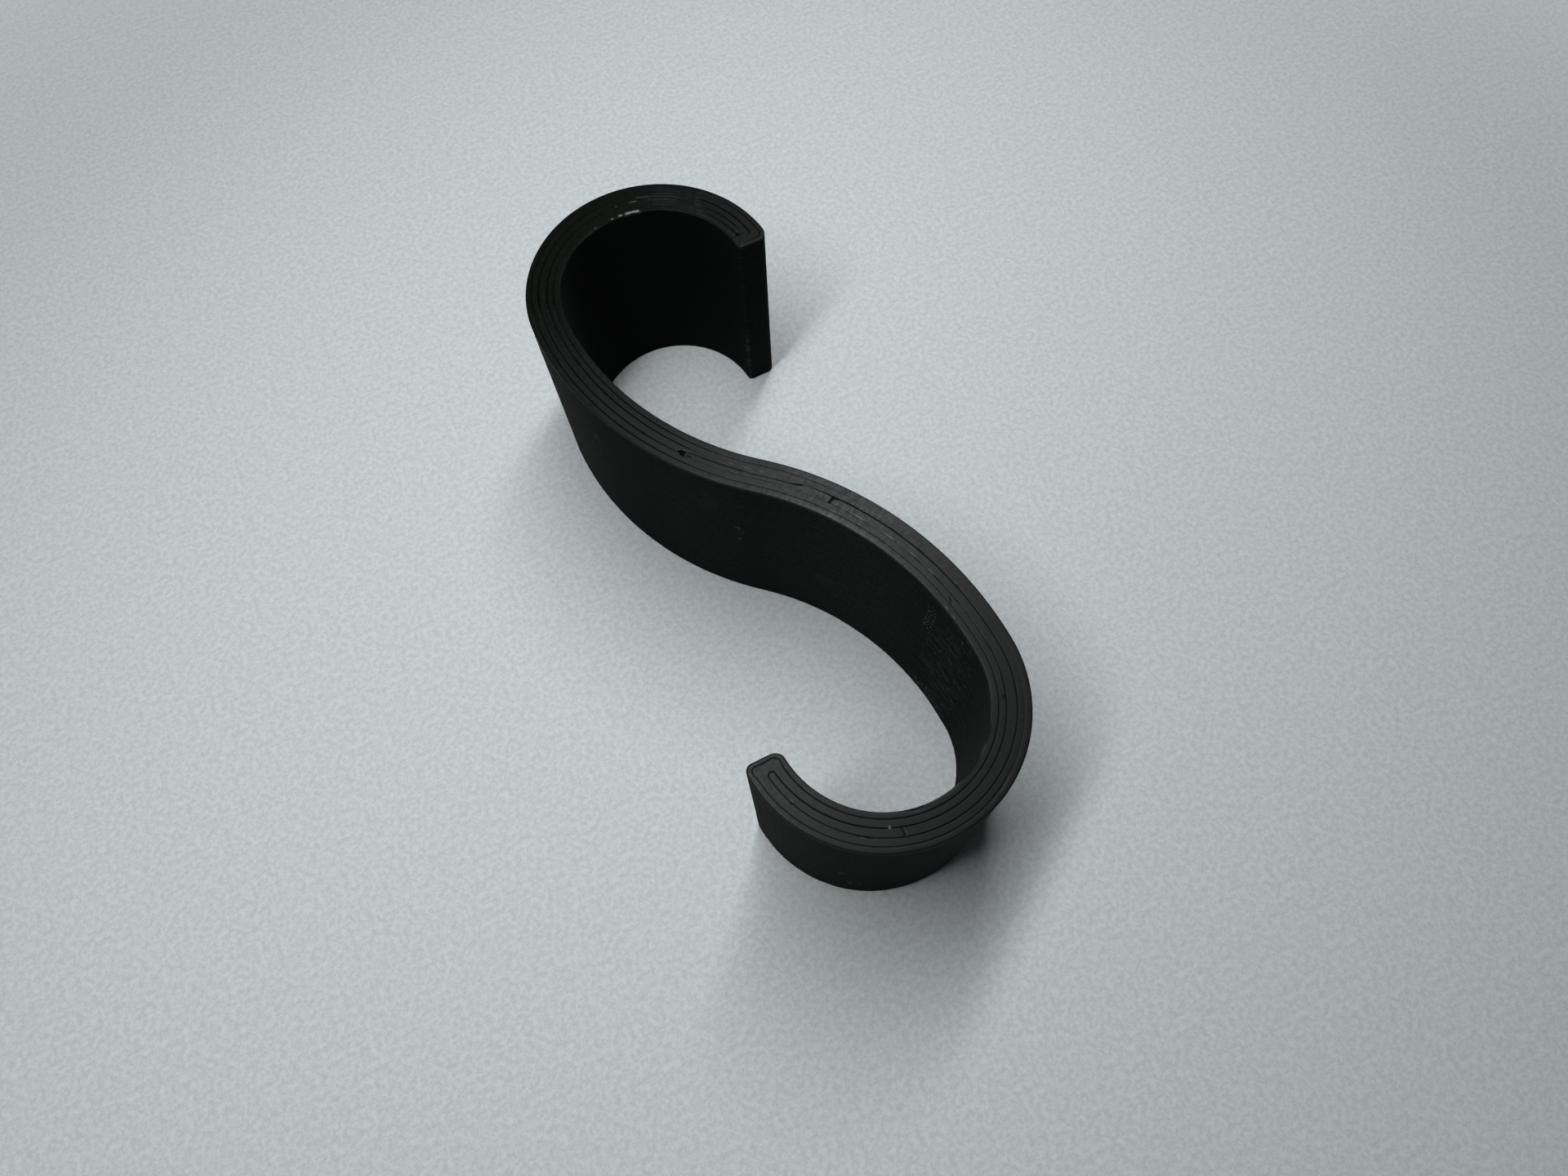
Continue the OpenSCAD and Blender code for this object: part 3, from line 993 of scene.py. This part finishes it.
def swing(cloud, amount, low=0.3):
    """A noise made a number from minus to plus an amount: it lies mostly between low and one minus low."""
    return remap(tree, cloud, low, 1 - low, -amount, amount)


top_rough = remap(tree, away_from(BEND_S), 6.0, 13.0, TOP_ROUGH_BEND, TOP_ROUGH)
rough = remap(tree, at_z, WALL_TOP, TOP_FROM, WALL_ROUGH, top_rough)
fine_streak = streak(1.6, 0.035)
patchy = times(tree, swing(streak(0.22, 0.5), 0.07), plus(tree, times(tree, off_bend, 0.8), 0.2))
fleck = times(tree, swing(streak(0.13, 0.16), 0.035, 0.40), on_top,
              maths(tree, "SUBTRACT", 1.0, times(tree, off_bend, 0.35)))
edge_sheen = remap(tree, at_n, 0.65, 1.0, SHEEN, RIM_SHEEN)
sheen = remap(tree, away_from(SHEEN_AT), 1.0, 7.0, edge_sheen, 0.0)
in_trench = remap(tree, maths(tree, "MAXIMUM", on_wall, off_bend), 0.0, 1.0, TRENCH_ROUGH_BEND, TRENCH_ROUGH)
rough = plus(tree, rough, swing(fine_streak, 0.05), patchy, fleck, sheen, times(tree, trench_and_shade_in, in_trench))
tree.links.new(rough, shader.inputs["Roughness"])
shader.inputs["Specular IOR Level"].default_value = 0.13
print("gloss:", len(tree.nodes), "nodes so far")

# %% Fine bump
BUMP_DEPTH = 0.004 * MM              # m, far too small to model
GRAIN_SCALE = 9000.0                 # cells in a metre

object_place = node(tree, "ShaderNodeTexCoord").outputs["Object"]
streak_bump = node(tree, "ShaderNodeBump", {}, {
    "Strength": 0.4, "Distance": BUMP_DEPTH, "Height": fine_streak})
bump = node(tree, "ShaderNodeBump", {}, {
    "Strength": 0.35, "Distance": BUMP_DEPTH, "Height": noise(tree, object_place, GRAIN_SCALE, 2.0),
    "Normal": streak_bump.outputs[0]})
tree.links.new(bump.outputs[0], shader.inputs["Normal"])
print("plastic:", len(tree.nodes), "nodes")

# %% [markdown]
# ## Paper
#
# The hook lies on a sheet of pale grey-blue paper. A flat plane is enough for
# it, a hair below the hook. A fine noise gives it the mottling of pulp. One
# small lamp would leave the far parts of the sheet dark, and a second lamp
# would change the hook. So the far parts glow a little, but only for the
# camera and in reflections, where the glow puts no light on the hook.

# %% Sheet of paper
PAPER_HALF, PAPER_Z = 0.6, -2e-5     # m
PULP_DARK, PULP_PALE = (0.497, 0.510, 0.527, 1), (0.603, 0.618, 0.640, 1)
PULP_SCALE = 2800.0                  # cells in a metre

paper_mesh = bpy.data.meshes.new("paper")
corners = [(x * PAPER_HALF, y * PAPER_HALF, PAPER_Z) for x, y in ((-1, -1), (1, -1), (1, 1), (-1, 1))]
paper_mesh.from_pydata(corners, [], [(0, 1, 2, 3)])
sheet = bpy.data.objects.new("paper", paper_mesh)
bpy.context.scene.collection.objects.link(sheet)
paper = bpy.data.materials.new("pale_paper")
paper.use_nodes = True
paper_tree = paper.node_tree
paper_shader = paper_tree.nodes["Principled BSDF"]
paper_place = node(paper_tree, "ShaderNodeTexCoord").outputs["Object"]
pulp = remap(paper_tree, noise(paper_tree, paper_place, PULP_SCALE, 3.0, 0.75), 0.38, 0.62)
paper_tree.links.new(mix_colour(paper_tree, pulp, PULP_DARK, PULP_PALE), paper_shader.inputs["Base Color"])
paper_shader.inputs["Roughness"].default_value = 0.85
paper_shader.inputs["Specular IOR Level"].default_value = 0.2
paper_mesh.materials.append(paper)
print("paper, m across:", 2 * PAPER_HALF)

# %% Pale far away
FAR_FROM, FAR_TO, FAR_GLOW = 0.065, 0.150, 0.50     # m, m and the strength of the glow


def seen_directly(tree):
    """1 for what the camera sees itself or mirrored in a gloss, 0 for light that falls on things."""
    path = node(tree, "ShaderNodeLightPath")
    return maths(tree, "MAXIMUM", path.outputs["Is Camera Ray"], path.outputs["Is Glossy Ray"])


from_hook = node(paper_tree, "ShaderNodeVectorMath", {"operation": "LENGTH"}, {
    0: paper_place}).outputs["Value"]
far = remap(paper_tree, from_hook, FAR_FROM, FAR_TO, curve="SMOOTHSTEP")
glow = times(paper_tree, far, seen_directly(paper_tree), FAR_GLOW)
paper_tree.links.new(glow, paper_shader.inputs["Emission Strength"])
paper_shader.inputs["Emission Color"].default_value = (0.95, 0.985, 1.0, 1)
print("glow starts, mm from the middle:", FAR_FROM / MM)

# %% [markdown]
# ## The lamp and the room
#
# Black plastic shows its form only by what it mirrors. A single long, narrow
# lamp overhead draws one soft highlight along the S, brightest where the top
# faces halfway between the lamp and the camera. More lamps would fill the
# walls with grey, so there is one, and the room gives next to no light. Its
# pale walls are there for the camera and for reflections.

# %% Strip lamp
STRIP_AT = (-3.0, 20.0, 120.0)    # mm, the middle of the lamp
STRIP_SIZE = (165.0, 15.0)        # mm, long and narrow
STRIP_HEADING = 33.0              # degrees, the way its long side runs
STRIP_POWER = 0.190               # W
STRIP_COLOUR = (0.945, 1.0, 0.98)


def strip_lamp(name, at, size, heading, power, colour):
    """A long soft lamp that hangs level and faces straight down."""
    lamp_data = bpy.data.lights.new(name, "AREA")
    lamp_data.shape, lamp_data.size, lamp_data.size_y = "RECTANGLE", size[0] * MM, size[1] * MM
    lamp_data.energy, lamp_data.color = power, colour
    lamp = bpy.data.objects.new(name, lamp_data)
    bpy.context.scene.collection.objects.link(lamp)
    h = math.radians(heading)
    along_lamp = np.array([math.cos(h), math.sin(h), 0.0])
    down = np.array([0.0, 0.0, -1.0])
    set_place(lamp, (along_lamp, np.cross(-down, along_lamp), down), np.array(at) * MM)
    return lamp


lamp = strip_lamp("strip_lamp", STRIP_AT, STRIP_SIZE, STRIP_HEADING, STRIP_POWER, STRIP_COLOUR)
print("lamp at, m:", [round(v, 3) for v in lamp.location])

# %% Room
ROOM_LIGHT = 0.035                   # strength of the light that falls on things
WALLS_LOW, WALLS_HIGH = 0.55, 0.02   # strength of what is seen: near the horizon, and overhead

world = bpy.data.worlds.new("room")
bpy.context.scene.world = world
world.use_nodes = True
room_tree = world.node_tree
room = room_tree.nodes["Background"]
room.inputs["Color"].default_value = (0.93, 0.98, 1.0, 1)
sky = node(room_tree, "ShaderNodeTexCoord")
height_of_sky = node(room_tree, "ShaderNodeSeparateXYZ", {}, {0: sky.outputs["Generated"]}).outputs[2]
seen = remap(room_tree, height_of_sky, 0.1, 0.6, WALLS_LOW, WALLS_HIGH, "SMOOTHSTEP")
strength = node(room_tree, "ShaderNodeMix", {"data_type": "FLOAT"}, {
    0: seen_directly(room_tree), 2: ROOM_LIGHT, 3: seen})
room_tree.links.new(strength.outputs[0], room.inputs["Strength"])
bpy.context.scene.view_settings.view_transform = "Standard"
print("room:", world.name, len(room_tree.nodes), "nodes")
